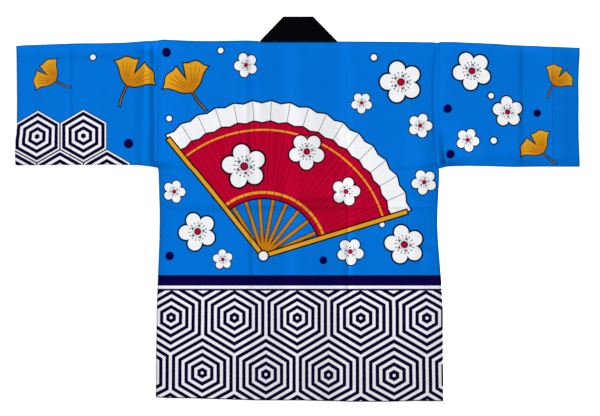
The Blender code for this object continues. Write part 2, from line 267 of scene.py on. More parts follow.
# The cloth's waves, and the puckers along its stitches.
WAVE, WAVE_LENGTH = 0.00022, 0.11
RIPPLE, RIPPLE_LENGTH = 0.00010, 0.034
PUCKER_LENGTH, PUCKER_REACH = 0.013, 0.005
HEM_PUCKER, HEM_DIP = 0.00016, 0.00015


def back_surface(u, v):
    """Where a point of the back's printed face lies. u and v are its place on the flat cloth."""
    left, right = edge("left_side", v) + SEAM / 2, edge("right_side", v) - SEAM / 2
    from_left, from_right = u - LEFT_SEAM, RIGHT_SEAM - u
    from_neck, from_hem = NECK_Y - v, v - HEM_Y
    x = u + (left - LEFT_SEAM) * smooth(1 - from_left / EASE)
    x = x + (right - RIGHT_SEAM) * smooth(1 - from_right / EASE)
    aside = np.abs(u - CENTRE_X)
    at_neck = smooth((NECK_REACH - aside) / NECK_CORNER)
    top = edge("shoulder", u) * (1 - at_neck) + NECK_Y * at_neck
    y = v + (top - NECK_Y) * smooth(1 - from_neck / SHOULDER_EASE)
    y = y + (edge("hem", u) - HEM_Y) * smooth(1 - from_hem / EASE)

    from_side = np.minimum(from_left, from_right)
    armhole = smooth((v - UNDERARM_Y) / UNDERARM_HOLD)
    unsewn = np.maximum(smooth(from_side / SEAM_HOLD), armhole) * smooth(from_neck / NECK_HOLD)
    over_band = smooth(1 - (aside - BAND_OUTER - BAND_CORNER) / BAND_SLOPE)
    z = WALL + SEAM + WALL + BAND_RISE * over_band
    sag = NECK_SAG * smooth(1 - aside / BAND_INNER)
    waves = WAVE * ripple(u, v, WAVE_LENGTH, 1) + RIPPLE * ripple(u, v, RIPPLE_LENGTH, 2)
    z = z + unsewn * (LOFT + creased(BACK_CREASES + SEAM_CREASES, u, v) - sag + waves)
    ridge = np.exp(-(((from_side - ALLOWANCE_RIDGE_PLACE) / ALLOWANCE_RIDGE_WIDTH) ** 2))
    z = z + ALLOWANCE_RIDGE * ridge * smooth(from_neck / SEAM_HOLD)
    z = z + HEM_STEP * smooth((BACK_HEM_TURN + HEM_STEP_WIDTH / 2 - from_hem) / HEM_STEP_WIDTH)
    stitched = np.exp(-np.abs(from_hem - BACK_HEM_TURN) / PUCKER_REACH)
    z = z + stitched * (HEM_PUCKER * ripple(u, 0 * v, PUCKER_LENGTH, 3) - HEM_DIP)

    depth = 1 - (1 - np.where(u < 0, SEAM_GROOVE[-1], SEAM_GROOVE[1])) * armhole
    rolled = 1 - depth * (1 - rounded(from_side, EDGE_ROLL))
    neck_depth = 1 - NECK_JOIN * at_neck
    rolled = np.minimum(rolled, 1 - neck_depth * (1 - rounded(from_neck, EDGE_ROLL)))
    z = MIDDLE + SEAM / 2 + (z - MIDDLE - SEAM / 2) * rolled
    return x, y, z


def lay_cloth(name, across, along, surface):
    """A sheet of cloth on a grid of its own flat coordinates, which it also keeps as its UV map."""
    bpy.ops.object.select_all(action="DESELECT")
    columns, rows = len(across) - 1, len(along) - 1
    bpy.ops.mesh.primitive_grid_add(x_subdivisions=columns, y_subdivisions=rows, size=1)
    piece = bpy.context.object
    mesh = piece.data
    piece.name = mesh.name = name
    flat = np.zeros(len(mesh.vertices) * 3)
    mesh.vertices.foreach_get("co", flat)
    flat = flat.reshape(-1, 3) + 0.5
    u = across[np.rint(flat[:, 0] * columns).astype(int)]
    v = along[np.rint(flat[:, 1] * rows).astype(int)]
    mesh.vertices.foreach_set("co", np.stack(surface(u, v), axis=1).ravel())
    corners = np.zeros(len(mesh.loops), int)
    mesh.loops.foreach_get("vertex_index", corners)
    layer = mesh.uv_layers.active
    layer.name = "cloth"
    layer.data.foreach_set("uv", np.stack([u[corners], v[corners]], axis=1).ravel())
    mesh.update()
    return piece


def edit(piece, *steps):
    """Runs edit-mode steps on the whole of one piece."""
    bpy.ops.object.select_all(action="DESELECT")
    piece.select_set(True)
    bpy.context.view_layer.objects.active = piece
    bpy.ops.object.mode_set(mode="EDIT")
    bpy.ops.mesh.select_all(action="SELECT")
    for step in steps:
        step()
    bpy.ops.object.mode_set(mode="OBJECT")


def give_wall(piece, doubled, printed, reverse):
    """Gives cloth its thickness inwards, nearly twice it where doubled(x, y) says, and both faces."""
    points = np.zeros(len(piece.data.vertices) * 3)
    piece.data.vertices.foreach_get("co", points)
    points = points.reshape(-1, 3)
    group = piece.vertex_groups.new(name="doubled")
    turned = np.flatnonzero(doubled(points[:, 0], points[:, 1]))
    group.add(turned.tolist(), 1.0, "REPLACE")
    piece.data.materials.append(printed)
    piece.data.materials.append(reverse)
    solidify = piece.modifiers.new("wall", "SOLIDIFY")
    solidify.thickness = DOUBLED
    solidify.vertex_group = "doubled"
    solidify.thickness_vertex_group = CLOTH / DOUBLED
    solidify.offset = -1.0
    solidify.material_offset = 1
    bpy.context.view_layer.objects.active = piece
    bpy.ops.object.modifier_apply(modifier=solidify.name)
    piece.vertex_groups.clear()
    bpy.ops.object.shade_smooth_by_angle(angle=math.radians(50))


def maths(operation, swapped=False):
    """A method of Ink that adds one Math node."""

    def method(self, other=0.0):
        values = {0: other, 1: self} if swapped else {0: self, 1: other}
        return self.node("Math", {"operation": operation}, values)

    return method


SOFT = 0.0004


class Ink:
    """A socket of a material. Plain arithmetic on it adds Math nodes."""

    __add__ = __radd__ = maths("ADD")
    __mul__ = __rmul__ = maths("MULTIPLY")
    __sub__ = maths("SUBTRACT")
    __rsub__ = maths("SUBTRACT", swapped=True)
    __truediv__ = maths("DIVIDE")
    __abs__ = maths("ABSOLUTE")
    least = maths("MINIMUM")
    most = maths("MAXIMUM")
    under = maths("LESS_THAN")
    modulo = maths("FLOORED_MODULO")
    fraction = maths("FRACT")
    root = maths("SQRT")
    sine = maths("SINE")
    cosine = maths("COSINE")
    angle = maths("ARCTAN2")

    def __init__(self, tree, socket=None):
        self.tree = tree
        self.socket = socket

    def node(self, kind, settings, values, output=0):
        """Adds any shader node: its type, its settings, then the values or links of its sockets."""
        made = self.tree.nodes.new("ShaderNode" + kind)
        for name, value in settings.items():
            setattr(made, name, value)
        for name, value in values.items():
            if isinstance(value, Ink):
                self.tree.links.new(value.socket, made.inputs[name])
            else:
                made.inputs[name].default_value = value
        return Ink(self.tree, made.outputs[output])

    def feed(self, shader, name):
        """Links this to a socket of the shader."""
        self.tree.links.new(self.socket, shader.inputs[name])

    def wave(self, length):
        """A wave of this length, from -1 to 1."""
        return (self * (math.tau / length)).sine()

    def within(self, soft=SOFT):
        """1 inside a shape whose edge is at 0, 0 outside it, blurred over a soft edge."""
        values = {"Value": self, "From Min": soft, "From Max": -soft, "To Min": 0.0, "To Max": 1.0}
        return self.node("MapRange", {}, values)

    def mix(self, share, other, kind="RGBA"):
        """This colour or vector with a share of another one."""
        sockets = {"RGBA": (6, 7, 2), "VECTOR": (4, 5, 1)}[kind]
        values = {0: share, sockets[0]: self, sockets[1]: other}
        return self.node("Mix", {"data_type": kind}, values, sockets[2])

    def noise(self, scale, detail):
        """Cloudy noise over this vector."""
        return self.node("TexNoise", {}, {"Vector": self, "Scale": scale, "Detail": detail})

    def threads(self, across, along):
        """Noise drawn out into threads, with so many to a metre each way."""
        values = {"Vector": self, "Scale": (across, along, 1.0)}
        return self.node("Mapping", {}, values).noise(1.0, 2.0)

    def split(self):
        """The vector's X and Y."""
        made = self.node("SeparateXYZ", {}, {0: self})
        return made, Ink(self.tree, made.socket.node.outputs[1])

    def length(self):
        return self.node("VectorMath", {"operation": "LENGTH"}, {0: self}, 1)


def dye(red, green, blue):
    """An ink's colour from its screen values, 0 to 255."""
    screen = [value / 255 for value in (red, green, blue)]
    linear = [((at + 0.055) / 1.055) ** 2.4 if at > 0.04045 else at / 12.92 for at in screen]
    return (*linear, 1.0)


BLUE = dye(0, 113, 214)
CRIMSON = dye(191, 0, 48)
DEEP_CRIMSON = dye(177, 0, 45)
NAVY = dye(8, 0, 66)
DEEP_NAVY = dye(8, 2, 46)
WHITE = dye(240, 241, 245)
GOLD = dye(222, 158, 28)
DEEP_GOLD = dye(196, 122, 18)
BLACK = dye(6, 4, 14)

# The print: a leaning folding fan over a border of nested tortoiseshell hexagons, with ginkgo
# leaves, plum blossoms and buds strewn round it, and more hexagons at the left cuff. Painted shade
# darkens the folded edges and the groove of the needle line, and the cloth is darker where the
# band, the seam allowances and the cuffs' turn lie under it and show through.
FOLD_SHADE = 0.42
FOLD_SHADE_WIDTH = 0.0056
FOLD_SHADE_SPARED = 0.75
SEAM_ALLOWANCE = 0.0110
ALLOWANCE_SOFT = 0.001
BAND_SOFT = 0.003
SHOWN_THROUGH = 0.040
SHOWN_THROUGH_WHITE = 0.035
NEEDLE_LINE_SHADE = 0.14
NEEDLE_HALF = 0.0008
NEEDLE_SOFT = 0.0003

# Painted shade deepens beside the right side seam too, and over each metre to the right and
# to the hem.
RIGHT_SIDE_SHADE = 0.13
RIGHT_SIDE_WIDTH = 0.060
RIGHT_SIDE_Y = -0.115
RIGHT_SIDE_HALF = 0.205
RIGHT_SIDE_SOFT = 0.06
SHADE_TO_RIGHT = 0.11
SHADE_TO_HEM = 0.60
SHADE_TO_CORNER = 0.60
PATCHY = 0.10
SLUBBY = 0.10
COTTON_ROUGHNESS = 0.84
YARN = 0.0006

OUTLINE = 0.0017
BORDER_Y = -0.154
BORDER_DEPTH = 0.034
HEXAGON = 0.144
RING = 0.0144
HEM_SHADOW_LINE = 0.0022
WHITE_SHARE = 0.46
FAN_PIVOT = (-0.078, -0.108)
FAN_TURN = math.radians(-17)
FAN_HALF_ANGLE = math.radians(56)
FAN_REACH = 0.352
FAN_LEAF_START = 0.132
FAN_PLEATS = 16
FAN_RIM = 0.046
FAN_PLEAT_RISE = 0.012
RIB_HALF = 0.0042
GUARD_HALF = 0.006
RIVET = 0.012

Motif = namedtuple("Motif", "u v size turn", defaults=[0.0])


def motifs(*rows):
    return tuple(Motif(*row) for row in rows)


# Places are on the flat cloth, and a motif's size is half its width.
FAN_BLOSSOMS = motifs(
    (-0.122, 0.098, 0.053, 0.2), (0.022, 0.132, 0.043, 0.6), (0.112, 0.04, 0.034, 1.0),
)
BLOSSOMS = motifs(
    (-0.232, -0.052, 0.046, 0.4), (-0.286, 0.04, 0.027, 0.9), (-0.172, -0.116, 0.024, 0.1),
    (0.122, -0.098, 0.032, 0.7), (0.246, -0.082, 0.047, 0.2), (0.29, 0.062, 0.03, 0.5),
    (0.238, 0.292, 0.05, 0.3), (0.282, 0.192, 0.029, 0.9), (0.148, 0.244, 0.025, 0.6),
    (0.402, 0.318, 0.046, 0.5), (0.484, 0.228, 0.036, 0.1), (0.392, 0.16, 0.028, 0.8),
    (-0.118, 0.33, 0.028, 0.4),
)
LEAVES = motifs(
    (-0.24, 0.268, 0.074, 0.45), (-0.392, 0.282, 0.07, -0.55), (-0.556, 0.296, 0.056, 0.95),
    (0.59, 0.292, 0.05, -0.6), (0.566, 0.132, 0.056, 0.7),
)
CELLS = motifs(
    (-0.6, 0.168, 0.054), (-0.492, 0.168, 0.054), (-0.654, 0.0745, 0.054), (-0.546, 0.0745, 0.054),
    (-0.438, 0.0745, 0.054),
)
BUDS = motifs(
    (-0.176, 0.362, 0.009), (-0.3, 0.356, 0.01), (-0.47, 0.35, 0.009), (-0.388, 0.15, 0.011),
    (-0.294, 0.208, 0.009), (-0.256, 0.14, 0.01), (0.176, 0.348, 0.01), (0.346, 0.232, 0.01),
    (0.446, 0.262, 0.009), (0.352, 0.128, 0.01), (0.452, 0.16, 0.01), (0.552, 0.226, 0.009),
    (0.196, -0.036, 0.008), (-0.296, -0.108, 0.01), (-0.19, 0.03, 0.009), (0.06, -0.118, 0.009),
)


def nearest(cut, group):
    """The flat cloth's coordinates in units of the nearest motif, centred and turned with it."""
    best = reach = None
    for motif in group:
        values = {
            "Vector": cut,
            "Location": (motif.u, motif.v, 0.0),
            "Rotation": (0.0, 0.0, motif.turn),
            "Scale": (motif.size, motif.size, 1.0),
        }
        local = cut.node("Mapping", {"vector_type": "TEXTURE"}, values)
        distance = local.length()
        if best is None:
            best, reach = local, distance
        else:
            best = best.mix(distance.under(reach), local, "VECTOR")
            reach = reach.least(distance)
    return best, reach


def print_shape(colour, shape, ink, line=OUTLINE, soft=SOFT):
    """Prints a shape in one ink with a black line round it."""
    colour = colour.mix((shape - line).within(soft), BLACK)
    return colour.mix((shape + line).within(soft), ink)


PETAL_PLACE, PETAL_RADIUS = 0.60, 0.40
CLEFT_SIDE, CLEFT_PLACE, CLEFT_HALF = 0.43, 0.42, 0.10
HEART_RADIUS = 0.15
STAMEN_HALF, STAMEN_REACH = 0.009, 0.42
STAMEN_TIP_PLACE, STAMEN_TIP = 0.44, 0.028


def print_blossoms(colour, cut, group):
    """Plum blossoms: five round white petals, a crimson heart and black stamens."""
    local, radius = nearest(cut, group)
    x, y = local.split()
    angle = x.angle(y) + math.pi
    fold = abs(angle.modulo(math.tau / 5) - math.tau / 10)
    out = radius * fold.cosine() - PETAL_PLACE
    side = radius * fold.sine()
    petals = (out * out + side * side).root() - PETAL_RADIUS
    colour = print_shape(colour, petals.least(radius - 0.30), WHITE, line=0.042, soft=0.010)
    cleft = (abs(CLEFT_SIDE - side) - 0.010).most(abs(radius - CLEFT_PLACE) - CLEFT_HALF)
    spoke = abs(angle.modulo(math.tau / 15) - math.tau / 30)
    along = radius * spoke.cosine()
    beside = radius * spoke.sine()
    stamen = (beside - STAMEN_HALF).most(radius - STAMEN_REACH)
    tip = abs(along - STAMEN_TIP_PLACE).most(beside) - STAMEN_TIP
    colour = colour.mix(stamen.least(tip).least(cleft).within(0.008), BLACK)
    return print_shape(colour, radius - HEART_RADIUS, CRIMSON, line=0.026, soft=0.010)


LEAF_RIM, LEAF_WAVE = 0.95, 0.030
LEAF_HALF_ANGLE = 1.04
LEAF_CLEFT_FROM, LEAF_CLEFT_ANGLE = 0.50, 0.24
STALK_HALF, STALK_REACH = 0.030, 0.66
LEAF_LINE = 0.020


def print_leaves(colour, cut, group):
    """Ginkgo leaves: a gold fan with a cleft and a waved rim, fine veins and a short stalk."""
    local, radius = nearest(cut, group)
    x, y = local.split()
    angle = x.angle(y)
    rim = radius - LEAF_RIM - LEAF_WAVE * (angle * 11.0).cosine()
    cleft = (y - LEAF_CLEFT_FROM) * math.sin(LEAF_CLEFT_ANGLE) - abs(x) * math.cos(LEAF_CLEFT_ANGLE)
    waist = (abs(angle) - LEAF_HALF_ANGLE) * radius - 0.05 * (radius * 6.0).sine()
    leaf = rim.most(cleft).most(waist)
    bend = x - y * y * 0.30
    stalk = (abs(bend) - STALK_HALF).most(y.most(-STALK_REACH - y) - 0.02)
    colour = print_shape(colour, leaf.least(stalk), DEEP_GOLD, LEAF_LINE, soft=0.005)
    gild = radius.node("MapRange", {}, {"Value": radius, "From Min": 0.25, "From Max": 0.85})
    inner = leaf.least(stalk) + LEAF_LINE
    colour = colour.mix(inner.within(0.005) * gild, GOLD)
    comb = abs((angle * 17.0).sine()) * radius * 0.055
    veins = (comb - 0.0050).most(0.30 - radius).most(leaf + 0.14)
    return colour.mix(veins.within(0.004), BLACK)


def print_buds(colour, cut, group):
    """Round buds, white and navy by turns."""
    white = nearest(cut, group[::2])[1]
    navy = nearest(cut, group[1::2])[1]
    colour = print_shape(colour, white - 0.85, WHITE, line=0.15, soft=0.04)
    return colour.mix((navy - 1.0).within(0.04), NAVY)


def print_fan(colour, cut):
    """A folding fan: a pleated crimson leaf with a white rim, on gold ribs that meet in a rivet."""
    values = {"Vector": cut, "Location": (*FAN_PIVOT, 0.0), "Rotation": (0.0, 0.0, FAN_TURN)}
    local = cut.node("Mapping", {"vector_type": "TEXTURE"}, values)
    radius = local.length()
    x, y = local.split()
    angle = x.angle(y)
    pleat = (angle + FAN_HALF_ANGLE) * (FAN_PLEATS / (2 * FAN_HALF_ANGLE))
    within_pleat = pleat.fraction()
    zigzag = abs(within_pleat - 0.5)
    spread = (abs(angle) - FAN_HALF_ANGLE) * radius

    step = 2 * FAN_HALF_ANGLE / (FAN_PLEATS / 2)
    turned = angle + step * 20
    rib_angle = abs(turned.modulo(step) - step / 2)
    rib = (rib_angle * radius - RIB_HALF).most(radius - FAN_LEAF_START).most(spread)
    guard = (abs(spread) - GUARD_HALF).most(radius - FAN_REACH + 0.004).most(0 - y)
    colour = print_shape(colour, rib, DEEP_GOLD, OUTLINE / 2)

    leaf = (radius - FAN_REACH - zigzag * FAN_PLEAT_RISE).most(FAN_LEAF_START - radius).most(spread)
    colour = print_shape(colour, leaf, CRIMSON)
    inside = (leaf + OUTLINE).within()
    colour = colour.mix(inside * zigzag.under(0.25), DEEP_CRIMSON)
    rim = (FAN_REACH - FAN_RIM + zigzag * 0.010) - radius
    colour = colour.mix(inside * (rim - OUTLINE).within(), BLACK)
    colour = colour.mix(inside * (rim + OUTLINE).within(), WHITE)
    thread = abs(radius - FAN_REACH + FAN_RIM + 0.016) - 0.0020
    thread = thread.least(abs(radius - FAN_LEAF_START - 0.014) - 0.0030)
    colour = colour.mix(inside * thread.within(), GOLD)
    fold_line = (0.5 - zigzag) * (2 * FAN_HALF_ANGLE / FAN_PLEATS) * radius
    colour = colour.mix(inside * (fold_line - 0.0006).within(), BLACK)
    colour = print_shape(colour, guard, GOLD)
    return print_shape(colour, radius - RIVET, WHITE)


def hexagonal(x, y):
    """How far a point is from the middle of its hexagon, measured square to the nearest side."""
    return abs(x).most(abs(x) * 0.5 + abs(y) * (math.sqrt(3) / 2))


def print_rings(colour, from_side, area):
    """Nested rings of white and navy inside an area whose edge is at 0."""
    wave = (from_side + WHITE_SHARE * RING / 2) / RING
    white = abs(wave.fraction() - WHITE_SHARE / 2) * RING - WHITE_SHARE * RING / 2
    colour = colour.mix(area.within(), DEEP_NAVY)
    return colour.mix(area.within() * white.within(), WHITE)


def print_border(colour, u, v):
    """The border at the hem: a navy band with a white line, then a field of nested hexagons."""
    area = v - BORDER_Y
    colour = print_shape(colour, area, NAVY)
    white_line = abs(area + BORDER_DEPTH - 0.008) - 0.0035
    colour = colour.mix(white_line.within(), WHITE)
    tall = HEXAGON * math.sqrt(3)
    sides = []
    for shift_u, shift_v in ((0.0, 0.0), (HEXAGON / 2, tall / 2)):
        moved_u, moved_v = u + shift_u, v + shift_v
        x = moved_u.modulo(HEXAGON) - HEXAGON / 2
        y = moved_v.modulo(tall) - tall / 2
        sides.append(hexagonal(x, y))
    colour = print_rings(colour, HEXAGON / 2 - sides[0].least(sides[1]), area + BORDER_DEPTH)
    # A navy line along the hem's fold is painted shadow, for the dark line under the rolled edge.
    return colour.mix((v - HEM_Y - HEM_SHADOW_LINE).within(), NAVY)


def print_cells(colour, cut, cells):
    """Loose nested hexagons with a black line round each."""
    x, y = nearest(cut, cells)[0].split()
    size = cells[0].size
    from_side = (1 - hexagonal(x, y)) * size
    colour = colour.mix((0 - from_side).within(), BLACK)
    return print_rings(colour, from_side - OUTLINE, OUTLINE - from_side)


def new_material(name):
    """A material, its shader and the first Ink of its nodes."""
    material = bpy.data.materials.new(name)
    material.use_nodes = True
    return material, material.node_tree.nodes["Principled BSDF"], Ink(material.node_tree)


def printed_cotton(name, for_back, reverse=0.0):
    """The printed cloth of the back, or of the rest, with painted shade. reverse is how much paler
    its wrong side is.
    """
    material, shader, start = new_material(name)
    cut = start.node("UVMap", {"uv_map": "cloth"}, {})
    u, v = cut.split()

    colour = start.node("RGB", {}, {})
    colour.socket.default_value = BLUE
    colour = print_cells(colour, cut, CELLS)
    colour = print_leaves(colour, cut, LEAVES)
    colour = print_buds(colour, cut, BUDS)
    if for_back:
        colour = print_fan(colour, cut)
    colour = print_blossoms(colour, cut, FAN_BLOSSOMS + BLOSSOMS if for_back else BLOSSOMS)
    colour = print_border(colour, u, v)

    if reverse:
        colour = colour.mix(reverse, WHITE)
    patch = cut.noise(14.0, 3.0)
    slub = cut.threads(900.0, 40.0)
    weft = cut.threads(40.0, 900.0)
    tone = (patch - 0.5) * PATCHY + (slub + weft - 1.0) * SLUBBY + 1.0
    if for_back:
        from_fold = abs(abs(u - BACK_MIDDLE) - BACK_HALF).most(v - UNDERARM_Y)
        from_fold = from_fold.least(abs(v - HEM_Y)).least(abs(v - NECK_Y))
        over_band = abs(abs(u - CENTRE_X) - (BAND_INNER + BAND_OUTER) / 2) - BAND_WIDTH / 2
        over_allowance = (BACK_HALF - SEAM_ALLOWANCE - abs(u - BACK_MIDDLE)).most(v - UNDERARM_Y)
        backed = over_band.within(BAND_SOFT).most(over_allowance.within(ALLOWANCE_SOFT))
        # Painted shade beside the right side seam.
        near_right = (1 - (RIGHT_SEAM - u) / RIGHT_SIDE_WIDTH).most(0.0)
        shaded = near_right * (abs(v - RIGHT_SIDE_Y) - RIGHT_SIDE_HALF).within(RIGHT_SIDE_SOFT)
        tone = tone - shaded * RIGHT_SIDE_SHADE
        needle = abs(v - HEM_Y - BACK_HEM_TURN)
    else:
        from_fold = abs(abs(u) - SLEEVE_END).least(abs(v - SLEEVE_BOTTOM)).least(abs(v - SLEEVE_TOP))
        backed = (SLEEVE_END - CUFF_TURN - abs(u)).within(ALLOWANCE_SOFT)
        needle = abs(abs(u) - SLEEVE_END + CUFF_TURN)
    green = colour.node("SeparateColor", {}, {0: colour}, 1)
    # Painted shade along the folded edges, less on pale ink.
    at_fold = (from_fold - FOLD_SHADE_WIDTH / 2).within(FOLD_SHADE_WIDTH / 2)
    tone = tone - at_fold * (1 - green * FOLD_SHADE_SPARED) * FOLD_SHADE
    tone = tone - backed * (green * SHOWN_THROUGH_WHITE + SHOWN_THROUGH)
    # Painted shade in the groove of the needle line.
    tone = tone - (needle - NEEDLE_HALF).within(NEEDLE_SOFT) * NEEDLE_LINE_SHADE
    # Painted shade, deepening towards the right.
    tone = tone - (u - CENTRE_X).most(0.0) * (1 - green) * SHADE_TO_RIGHT
    # Painted shade, deepening below the border's line towards the hem, more to the right.
    below_line = (BORDER_Y - BORDER_DEPTH - v).most(0.0)
    tone = tone - below_line * ((u - CENTRE_X) * SHADE_TO_CORNER + SHADE_TO_HEM)
    colour = colour.node("VectorMath", {"operation": "SCALE"}, {0: colour, "Scale": tone})

    relief = u.wave(YARN) * v.wave(YARN) * 0.35 + slub + weft
    bump = {"Height": relief, "Strength": 0.35, "Distance": 0.00008}
    normal = cut.node("Bump", {}, bump)
    colour.feed(shader, "Base Color")
    normal.feed(shader, "Normal")
    (COTTON_ROUGHNESS + (patch - 0.5) * PATCHY).feed(shader, "Roughness")
    shader.inputs["Specular IOR Level"].default_value = 0.02
    return material


def hem_zone(x, y):
    """True where the back's and the fronts' hems are doubled."""
    return y < edge("hem", x) + BACK_HEM_TURN


SLEEVE_TOP = 0.3840
SLEEVE_BOTTOM = 0.0995
CUFF_TURN = 0.0620
BACK_MIDDLE = (LEFT_SEAM + RIGHT_SEAM) / 2
BACK_HALF = (RIGHT_SEAM - LEFT_SEAM) / 2
REVERSE_PALENESS = 0.45
# These materials carry the print and also painted shade in the folds, the needle line and towards the
# right and the hem.
picture_print_and_shade = printed_cotton("picture_print_and_shade", True)
picture_reverse_and_shade = printed_cotton("picture_reverse_and_shade", True, REVERSE_PALENESS)
plain_print_and_shade = printed_cotton("plain_print_and_shade", False)
plain_reverse_and_shade = printed_cotton("plain_reverse_and_shade", False, REVERSE_PALENESS)

CLOTH_PITCH = 0.0048
close = ((LEFT_SEAM, 0.0030, 0.0008), (RIGHT_SEAM, 0.0030, 0.0008), (-0.1065, 0.0060, 0.0014))
close += ((0.1160, 0.0060, 0.0014), (0.3120, 0.0070, 0.0018))
back_across = spaced(LEFT_SEAM, RIGHT_SEAM, CLOTH_PITCH, close)
close = ((HEM_Y, 0.0020, 0.0010), (HEM_Y + BACK_HEM_TURN, 0.0050, 0.0014))
close += ((0.0, 0.0080, 0.0016), (0.087, 0.0080, 0.0025), (NECK_Y, 0.0030, 0.0008))
back_along = spaced(HEM_Y, NECK_Y, CLOTH_PITCH, close)
back = lay_cloth("back_panel", back_across, back_along, back_surface)
give_wall(back, hem_zone, picture_print_and_shade, picture_reverse_and_shade)


STITCH_HALF_SHARE = 0.36
STITCH_HALF_WIDTH, STITCH_HALF_HEIGHT = 0.00026, 0.00016
STITCH_LOOK = 0.001
UP, DOWN = (0.0, 0.0, 1.0), (0.0, 0.0, -1.0)


def distances(points):
    """How far along a path each of its points is."""
    return np.concatenate([[0], np.cumsum(np.linalg.norm(np.diff(points, axis=0), axis=1))])


def follow(places, walked, points):
    """The points of a path at other distances along it."""
    return np.stack([np.interp(places, walked, points[:, axis]) for axis in range(3)], axis=1)


def add_object(name, data):
    """Puts data made in code into the scene."""
    made = bpy.data.objects.new(name, data)
    bpy.context.scene.collection.objects.link(made)
    return made


def sew_row(name, surface, u, v, out, thread, pitch=0.0031):
    """A row of machine stitches over a surface, along u and v. out points out of the cloth."""
    points = np.stack(surface(*np.broadcast_arrays(u, v)), axis=1)
    walked = distances(points)
    places = np.arange(pitch / 2, walked[-1], pitch)
    at = follow(places, walked, points)
    ahead = follow(places + STITCH_LOOK, walked, points)
    run = (ahead - at) / np.maximum(np.linalg.norm(ahead - at, axis=1, keepdims=True), 1e-9)
    side = np.cross(out, run)
    bpy.ops.object.select_all(action="DESELECT")
    bpy.ops.mesh.primitive_ico_sphere_add(subdivisions=1, radius=1.0)
    stitch = bpy.context.object
    grain = np.array([vertex.co for vertex in stitch.data.vertices])
    grain = grain * (STITCH_HALF_SHARE * pitch, STITCH_HALF_WIDTH, STITCH_HALF_HEIGHT)
    faces = np.array([face.vertices for face in stitch.data.polygons])
    bpy.data.objects.remove(stitch)
    spots = at[:, None] + grain[None, :, :1] * run[:, None] + grain[None, :, 1:2] * side[:, None]
    spots = spots + grain[None, :, 2:] * np.array(out)
    numbers = faces[None] + (np.arange(len(at)) * len(grain))[:, None, None]
    mesh = bpy.data.meshes.new(name)
    mesh.from_pydata(spots.reshape(-1, 3).tolist(), [], numbers.reshape(-1, 3).tolist())
    mesh.shade_smooth()
    mesh.materials.append(thread)
    return add_object(name, mesh)


def thread_material(name, colour):
    """Spun cotton sewing thread, with painted shade in the furrows of its twist."""
    material, shader, start = new_material(name)
    twist = start.node("TexCoord", {}, {}, 3).noise(1500.0, 1.0)
    # Painted shade for the furrows of the twist, a fifth darker.
    furrow_shade = (*[channel * 0.8 for channel in colour[:3]], 1.0)
    mixed = start.node("Mix", {"data_type": "RGBA"}, {0: twist, 6: colour, 7: furrow_shade}, 2)
    mixed.feed(shader, "Base Color")
    shader.inputs["Roughness"].default_value = 0.7
    return material


ROW_INSET = 0.006
BACK_ROW_POINTS = 500
blue_thread = thread_material("blue_thread", dye(8, 104, 204))
navy_thread = thread_material("navy_thread", dye(16, 14, 70))
hem_u = np.linspace(LEFT_SEAM + ROW_INSET, RIGHT_SEAM - ROW_INSET, BACK_ROW_POINTS)
hem_v = HEM_Y + BACK_HEM_TURN
back_stitches = sew_row("back_hem_stitches", back_surface, hem_u, hem_v, UP, navy_thread)

for piece in (back, back_stitches):
    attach(piece, "root")
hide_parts("back")


# ---- Fronts ----
# Two straight panels of the same print, from the shoulder to the hem. They lie face down on the
# floor under the back, each sewn to it at the shoulder and the side, with the same turned hem.

FRONT_RISE = 0.004
FRONT_EASE = 0.20
FRONT_HOLD = 0.020
ARMHOLE_DEPTH = 0.35
INNER_EDGE, INNER_ROLL = 0.6, 0.0015
FRONT_PITCH = 0.007
FRONT_ROW_POINTS = 200

# The most that a fold lifts the cloth on the floor, and the fold's height at which that levels off.
PRESSED = 0.0006
PRESSED_FROM = 5 * PRESSED


def pressed_folds(folds, u, v):
    """How far the same folds lift the cloth that lies on the floor."""
    return PRESSED * np.tanh(creased(folds, u, v) / PRESSED_FROM)


def front_surface(side):
    """The printed face of the front on one side, which lies downwards."""
    inner = CENTRE_X + side * (BAND_OUTER + SEAM)
    seam = SEAMS[side]
    table = "left_side" if side < 0 else "right_side"

    def surface(u, v):
        from_side, from_inner, from_top = np.abs(u - seam), np.abs(u - inner), NECK_Y - v
        outer_edge = edge(table, v) - side * SEAM / 2
        x = u + (outer_edge - seam) * smooth(1 - from_side / FRONT_EASE)
        y = v + (edge("shoulder", u) - NECK_Y) * smooth(1 - from_top / SHOULDER_EASE)
        y = y + (edge("hem", u) + FRONT_RISE - HEM_Y) * smooth(1 - (v - HEM_Y) / EASE)
        depth = np.where(v > UNDERARM_Y, ARMHOLE_DEPTH, 1.0)
        rolled = 1 - depth * (1 - rounded(from_side, EDGE_ROLL))
        rolled = np.minimum(rolled, rounded(from_top, EDGE_ROLL))
        inner_roll = INNER_EDGE + (1 - INNER_EDGE) * rounded(from_inner, INNER_ROLL)
        rolled = np.minimum(rolled, inner_roll)
        unsewn = smooth(from_side / FRONT_HOLD) * smooth(from_inner / FRONT_HOLD)
        unsewn = unsewn * smooth(from_top / FRONT_HOLD)
        return x, y, (MIDDLE - SEAM / 2) * (1 - rolled) + unsewn * pressed_folds(BACK_CREASES, u, v)

    return surface


